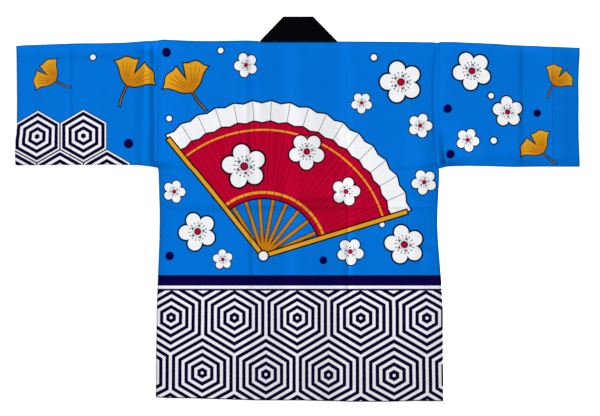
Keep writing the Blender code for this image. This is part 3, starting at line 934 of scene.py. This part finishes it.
for side, name in ((-1, "front_left"), (1, "front_right")):
    inner = CENTRE_X + side * (BAND_OUTER + SEAM)
    seam = SEAMS[side]
    low, high = min(inner, seam), max(inner, seam)
    close = ((low, 0.003, 0.0010), (high, 0.003, 0.0010), (side * 0.114, 0.008, 0.002))
    across = spaced(low, high, FRONT_PITCH, close)
    close = ((HEM_Y + BACK_HEM_TURN, 0.004, 0.002), (0.012, 0.012, 0.002), (NECK_Y, 0.003, 0.0010))
    along = spaced(HEM_Y, NECK_Y, FRONT_PITCH, close)
    face = front_surface(side)
    panel = lay_cloth(f"{name}_panel", across, along, face)
    edit(panel, bpy.ops.mesh.flip_normals)
    give_wall(panel, lambda x, y: hem_zone(x, y - FRONT_RISE), plain_print_and_shade, plain_reverse_and_shade)
    row_u = np.linspace(low + ROW_INSET, high - ROW_INSET, FRONT_ROW_POINTS)
    stitches = sew_row(f"{name}_hem_stitches", face, row_u, hem_v, DOWN, navy_thread)
    for piece in (panel, stitches):
        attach(piece, "root")
    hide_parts(name)


# ---- Sleeves ----
# A rectangle of the same print, folded at the top into a flat tube and sewn along the bottom and
# to the armhole. Its cuff is turned under about 6 cm and sewn down all round.

TURN_RADIUS = WALL + SEAM / 2
SLEEVE_CREASES = {
    -1: creases(
        (-0.5238, 0.396, -0.5243, 0.088, -0.0007, -0.0007, 0.01, 0.007),
        (-0.635, 0.39, -0.6352, 0.09, 0.0002, 0.0002, 0.004, 0.004),
        (-0.63, 0.357, -0.33, 0.357, 0.0008, 0.0013, 0.013, 0.026),
    ),
    1: creases(
        (0.52, 0.39, 0.5195, 0.088, 0.0019, 0.0019, 0.012, 0.09),
        (0.345, 0.124, 0.645, 0.122, 0.0007, 0.0008, 0.012, 0.05),
        (0.355, 0.111, 0.645, 0.111, -0.0004, -0.0005, 0.007, 0.012),
        (0.626, 0.386, 0.625, 0.09, 0.0002, 0.0002, 0.006, 0.006),
    ),
}
CUFF_STEP, CUFF_STEP_WIDTH = 0.0002, 0.0024
CUFF_PUCKER, CUFF_DIP = 0.00010, 0.00008
CUFF_LOFT, CUFF_LOFT_REACH = 0.0012, 0.05
CUFF_EASE = 0.12
SLEEVE_WAVE, SLEEVE_WAVE_LENGTH = 0.00018, 0.09
SLEEVE_RIPPLE, SLEEVE_RIPPLE_LENGTH = 0.00009, 0.03
TURN_HOLD = 0.018
TURN_CORNER = 0.006
GROOVE_ROLL = 0.0014
SLEEVE_ROW_POINTS = 200


def sleeve_surface(side):
    """A sleeve's printed face. u runs along it and w round it, from the seam under the arm."""
    seam = SEAMS[side] + side * SEAM / 2
    cuff_table = "left_cuff" if side < 0 else "right_cuff"
    depth = SLEEVE_TOP - SLEEVE_BOTTOM
    half_turn = math.pi * TURN_RADIUS / 2

    def surface(u, w):
        lower = w < depth
        into = np.where(lower, w, 2 * depth - w)
        from_edge = np.minimum(into, depth - into)
        v = SLEEVE_BOTTOM + into
        top, bottom = edge("shoulder", u), edge("sleeve_bottom", u)
        stretch = (top - bottom) / depth
        at_turn = from_edge < half_turn
        angle = np.clip(from_edge, 0, half_turn) / TURN_RADIUS
        flat = from_edge - half_turn + TURN_RADIUS
        inward = np.where(at_turn, TURN_RADIUS * (1 - np.cos(angle)), flat)
        lift = np.where(at_turn, TURN_RADIUS * np.sin(angle), TURN_RADIUS)
        y = np.where(into < depth / 2, bottom + inward * stretch, top - inward * stretch)
        from_cuff, from_seam = SLEEVE_END - np.abs(u), np.abs(u - seam)
        x = u + (edge(cuff_table, y) - side * SLEEVE_END) * smooth(1 - from_cuff / CUFF_EASE)
        loose = smooth(from_edge / TURN_HOLD)
        waves = SLEEVE_WAVE * ripple(u, v, SLEEVE_WAVE_LENGTH, 4)
        waves = waves + SLEEVE_RIPPLE * ripple(u, v, SLEEVE_RIPPLE_LENGTH, 5)
        relief = LOFT + creased(SLEEVE_CREASES[side] + SEAM_CREASES, u, v) + waves
        relief = relief + CUFF_LOFT * smooth(1 - from_cuff / CUFF_LOFT_REACH)
        step = CUFF_STEP * smooth((CUFF_TURN + CUFF_STEP_WIDTH / 2 - from_cuff) / CUFF_STEP_WIDTH)
        stitched = np.exp(-np.abs(from_cuff - CUFF_TURN) / PUCKER_REACH)
        pucker = stitched * (CUFF_PUCKER * ripple(v, 0 * u, PUCKER_LENGTH, 6) - CUFF_DIP)
        upper = lift + loose * relief + smooth(from_edge / TURN_CORNER) * (step + pucker)
        under = loose * pressed_folds(SLEEVE_CREASES[side] + SEAM_CREASES, u, v) - lift
        valley = 1 - SEAM_GROOVE[side] * (1 - rounded(from_seam, GROOVE_ROLL))
        z = TURN_RADIUS + np.where(lower, under, upper) * valley
        return x, y, z

    return surface


def cuff_zone(x, y):
    """True where the cuffs are doubled."""
    return np.abs(x) > SLEEVE_END - CUFF_TURN


depth = SLEEVE_TOP - SLEEVE_BOTTOM
for side, name in ((-1, "sleeve_left"), (1, "sleeve_right")):
    seam = SEAMS[side] + side * SEAM / 2
    low, high = min(seam, side * SLEEVE_END), max(seam, side * SLEEVE_END)
    close = [(side * 0.3390, 0.014, 0.0018), (side * 0.5210, 0.009, 0.0018)]
    close += [(seam, 0.003, 0.0008), (side * (SLEEVE_END - CUFF_TURN), 0.005, 0.0016)]
    across = spaced(low, high, CLOTH_PITCH, close)
    rolls = [(place, 0.0024, 0.0006) for place in (0.0, depth, 2 * depth)]
    around = spaced(0.0, 2 * depth, 0.0050, rolls)
    face = sleeve_surface(side)
    tube = lay_cloth(f"{name}_tube", across, around, face)
    for corner in tube.data.uv_layers["cloth"].data:
        w = corner.uv[1]
        corner.uv[1] = SLEEVE_BOTTOM + (w if w < depth else 2 * depth - w)
    edit(tube, lambda: bpy.ops.mesh.remove_doubles(threshold=0.00002), bpy.ops.mesh.flip_normals)
    give_wall(tube, cuff_zone, plain_print_and_shade, plain_reverse_and_shade)
    rows = []
    for layer, start, out in (("under", 0.0, DOWN), ("upper", depth, UP)):
        row_u = side * (SLEEVE_END - CUFF_TURN)
        row_w = np.linspace(start + ROW_INSET, start + depth - ROW_INSET, SLEEVE_ROW_POINTS)
        row_name = f"{name}_cuff_stitches_{layer}"
        rows.append(sew_row(row_name, face, row_u, row_w, out, blue_thread))
    for piece in (tube, *rows):
        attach(piece, "root")
    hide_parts(name)


# ---- Collar band ----
# One long strip of plain black cotton, folded lengthwise. It is sewn to the neck and to both front
# edges. Behind the neck it stands up past the shoulders, and it turns down each front in a mitre.

BAND = 0.0024
FOLD_RADIUS = (BAND + SEAM) / 2
BAND_TOP = 0.4430
MITRE_TOP = {-1: 0.0316, 1: 0.0304}
MITRE_FOOT = {-1: 0.0876, 1: 0.0882}
MITRE_MARGIN = 0.04
NECK_STATIONS, MITRE_STATIONS, FRONT_STATIONS = 14, 15, 140
RUN_START = 0.006


def band_path():
    """Stations along the band: its free edge, its sewn edge and the way that its face points."""
    low, high = BAND / 2, BAND / 2 + 2 * FOLD_RADIUS
    up = np.array((0.0, 0.0, 1.0))
    halves = []
    for side in (-1, 1):
        free = np.array((CENTRE_X + side * MITRE_TOP[side], BAND_TOP, high))
        sewn = np.array((CENTRE_X + side * MITRE_FOOT[side], NECK_Y, high))
        down = (sewn - free) / np.linalg.norm(sewn - free)
        across = side * np.cross(up, down)
        stations = []
        middle_free = np.array((CENTRE_X, BAND_TOP, high))
        middle_sewn = np.array((CENTRE_X, NECK_Y, high))
        for share in np.linspace(MITRE_MARGIN, 1 - MITRE_MARGIN, NECK_STATIONS):
            at_free = middle_free + (free - middle_free) * share
            at_sewn = middle_sewn + (sewn - middle_sewn) * share
            stations.append((at_free, at_sewn, up))
        for angle in np.linspace(0, math.pi, MITRE_STATIONS):
            move = across * FOLD_RADIUS * math.sin(angle) - up * FOLD_RADIUS * (1 - math.cos(angle))
            face = up * math.cos(angle) + across * math.sin(angle)
            stations.append((free + move + down * FOLD_RADIUS * angle, sewn + move, face))
        hem = float(edge("hem", CENTRE_X + side * BAND_OUTER)) + FRONT_RISE
        for y in np.linspace(NECK_Y - RUN_START, hem, FRONT_STATIONS):
            inner = np.array((CENTRE_X + side * BAND_INNER, y, low))
            outer = np.array((CENTRE_X + side * BAND_OUTER, y, low))
            stations.append((inner, outer, -up))
        halves.append(stations)
    return halves[0][::-1] + halves[1]


band_stations = band_path()
band_free, band_sewn, band_face = (np.array(part) for part in zip(*band_stations))
band_walked = distances((band_free + band_sewn) / 2)
BAND_LENGTH = float(band_walked[-1])

# The strip is thinner at its sewn edge and its stitches, with a ridge where its seam ends.
BAND_EDGE, BAND_EDGE_ROLL, BAND_FOLD_ROLL = 0.62, 0.0030, 0.0012
BAND_ROW, BAND_ROW_DIP, BAND_ROW_WIDTH = 0.0032, 0.00022, 0.0009
BAND_RIDGE, BAND_RIDGE_RISE, BAND_RIDGE_WIDTH = 0.0125, 0.00010, 0.0020
BAND_WAVE, BAND_WAVE_LENGTH, BAND_WAVE_HOLD = 0.00012, 0.05, 0.01


def band_surface(u, w):
    """The strip's face. u runs along the band, and w from its sewn edge over its fold and back."""
    free, sewn, face = (follow(u, band_walked, path) for path in (band_free, band_sewn, band_face))
    face = face / np.linalg.norm(face, axis=1, keepdims=True)
    outside = w < BAND_WIDTH
    into = np.where(outside, w, 2 * BAND_WIDTH - w)
    half = BAND / 2 * (BAND_EDGE + (1 - BAND_EDGE) * rounded(into, BAND_EDGE_ROLL))
    half = half * rounded(BAND_WIDTH - into, BAND_FOLD_ROLL)
    half = half - BAND_ROW_DIP * np.exp(-(((into - BAND_ROW) / BAND_ROW_WIDTH) ** 2))
    half = half + BAND_RIDGE_RISE * np.exp(-(((into - BAND_RIDGE) / BAND_RIDGE_WIDTH) ** 2))
    waves = BAND_WAVE * (1 - ripple(u, into, BAND_WAVE_LENGTH, 7)) * smooth(into / BAND_WAVE_HOLD)
    half = half - waves * smooth((BAND_WIDTH - into) / BAND_WAVE_HOLD)
    along = (into / BAND_WIDTH)[:, None]
    point = sewn + (free - sewn) * along + face * (np.where(outside, half, -half))[:, None]
    return point[:, 0], point[:, 1], point[:, 2]


def plain_cotton(name, colour):
    """Plain black cotton, a little dusty, with a fine weave."""
    material, shader, start = new_material(name)
    cut = start.node("UVMap", {"uv_map": "cloth"}, {})
    u, v = cut.split()
    patch = cut.noise(30.0, 3.0)
    slub = cut.threads(60.0, 1100.0)
    lighter = tuple(channel * 2.2 for channel in colour[:3]) + (1.0,)
    share = patch * 0.5 + slub * 0.5
    tinted = cut.node("Mix", {"data_type": "RGBA"}, {0: share, 6: colour, 7: lighter}, 2)
    relief = u.wave(0.0009) * v.wave(0.0009) * 0.4 + slub
    normal = cut.node("Bump", {}, {"Height": relief, "Strength": 0.4, "Distance": 0.0001})
    tinted.feed(shader, "Base Color")
    normal.feed(shader, "Normal")
    (0.80 + patch * 0.12).feed(shader, "Roughness")
    shader.inputs["Specular IOR Level"].default_value = 0.012
    return material


black_cotton = plain_cotton("black_cotton", (0.0008, 0.0008, 0.0016, 1.0))
black_reverse = plain_cotton("black_cotton_reverse", (0.0011, 0.0011, 0.0019, 1.0))
mitres = []
for side in (-1, 1):
    mitre = BAND_LENGTH / 2 + side * (MITRE_TOP[side] + MITRE_FOOT[side]) / 2
    mitres.append((mitre, 0.012, 0.0012))
rims = ((0.0, 0.004, 0.0012), (BAND_WIDTH, 0.002, 0.0005), (2 * BAND_WIDTH, 0.004, 0.0012))
band_along = spaced(0.0, BAND_LENGTH, 0.0070, mitres)
band_around = spaced(0.0, 2 * BAND_WIDTH, 0.0060, rims)
band = lay_cloth("collar_band", band_along, band_around, band_surface)
give_wall(band, lambda x, y: x < -9, black_cotton, black_reverse)

# Its stitches are made where it lies flat, behind the neck and down each front.
BAND_ROW_POINTS = 1500
BAND_STITCH = 0.0034
FLAT_ENOUGH = 0.98
FEWEST_POINTS = 20
black_thread = thread_material("black_thread", (0.003, 0.003, 0.005, 1.0))
row_u = np.linspace(ROW_INSET, BAND_LENGTH - ROW_INSET, BAND_ROW_POINTS)
facing = follow(row_u, band_walked, band_face)[:, 2]
flat_part = np.abs(facing) > FLAT_ENOUGH
parts = np.split(np.arange(BAND_ROW_POINTS), np.flatnonzero(np.diff(flat_part.astype(int))) + 1)
band_rows = []
for name, row_w, way in (("outer", BAND_ROW, 1), ("inner", 2 * BAND_WIDTH - BAND_ROW, -1)):
    for number, part in enumerate(parts):
        if flat_part[part[0]] and len(part) > FEWEST_POINTS:
            out = UP if facing[part[0]] * way > 0 else DOWN
            row_name = f"collar_stitches_{name}_{number}"
            along = row_u[part]
            row = sew_row(row_name, band_surface, along, row_w, out, black_thread, BAND_STITCH)
            band_rows.append(row)
for piece in (band, *band_rows):
    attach(piece, "root")
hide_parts("collar")


# ---- Floor, light and camera ----
# The coat lies on a plain white floor, which glows a little so that no shadow greys it. One low,
# soft sun under an even white sky brings out the folds, and the camera looks straight down.

PIXEL = 0.0023029
FRAME_WIDTH, FRAME_HEIGHT = 600, 416
ORIGIN_PIXEL = (297.25, 208.95)
LENS, SENSOR = 85.0, 36.0
FLOOR_SIZE, FLOOR_Z = 16.0, -0.0003
FLOOR_GLOW = 0.75
SKY = 0.38
SUN = 0.62
KEY_AZIMUTH, KEY_HEIGHT, KEY_SPREAD = math.radians(38), math.radians(20), math.radians(14)

bpy.ops.object.select_all(action="DESELECT")
bpy.ops.mesh.primitive_plane_add(size=FLOOR_SIZE, location=(0.0, 0.0, FLOOR_Z))
floor = bpy.context.object
floor.name = "floor"
floor_paint, floor_shader, _ = new_material("floor_paint")
floor_finish = {
    "Base Color": (0.93, 0.93, 0.93, 1.0),
    "Roughness": 0.9,
    "Specular IOR Level": 0.0,
    "Emission Color": (1.0, 1.0, 1.0, 1.0),
    "Emission Strength": FLOOR_GLOW,
}
for name, value in floor_finish.items():
    floor_shader.inputs[name].default_value = value
floor.data.materials.append(floor_paint)
floor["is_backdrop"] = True

world = bpy.data.worlds.new("studio")
bpy.context.scene.world = world
world.use_nodes = True
background = world.node_tree.nodes["Background"]
background.inputs["Color"].default_value = (1.0, 1.0, 1.0, 1.0)
background.inputs["Strength"].default_value = SKY

key_data = bpy.data.lights.new("key", "SUN")
key_data.angle = KEY_SPREAD
key_data.energy = SUN * math.pi / math.sin(KEY_HEIGHT)
key = add_object("key", key_data)
key.rotation_euler = (math.pi / 2 - KEY_HEIGHT, 0.0, KEY_AZIMUTH + math.pi / 2)

camera_data = bpy.data.cameras.new("camera")
camera = add_object("camera", camera_data)
camera_data.lens = LENS
camera_data.sensor_width = SENSOR
camera.location = (
    (FRAME_WIDTH / 2 - ORIGIN_PIXEL[0]) * PIXEL,
    (ORIGIN_PIXEL[1] - FRAME_HEIGHT / 2) * PIXEL,
    FRAME_WIDTH * PIXEL * LENS / SENSOR,
)
bpy.context.scene.camera = camera
bpy.context.scene.view_settings.view_transform = "Standard"

low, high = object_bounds()
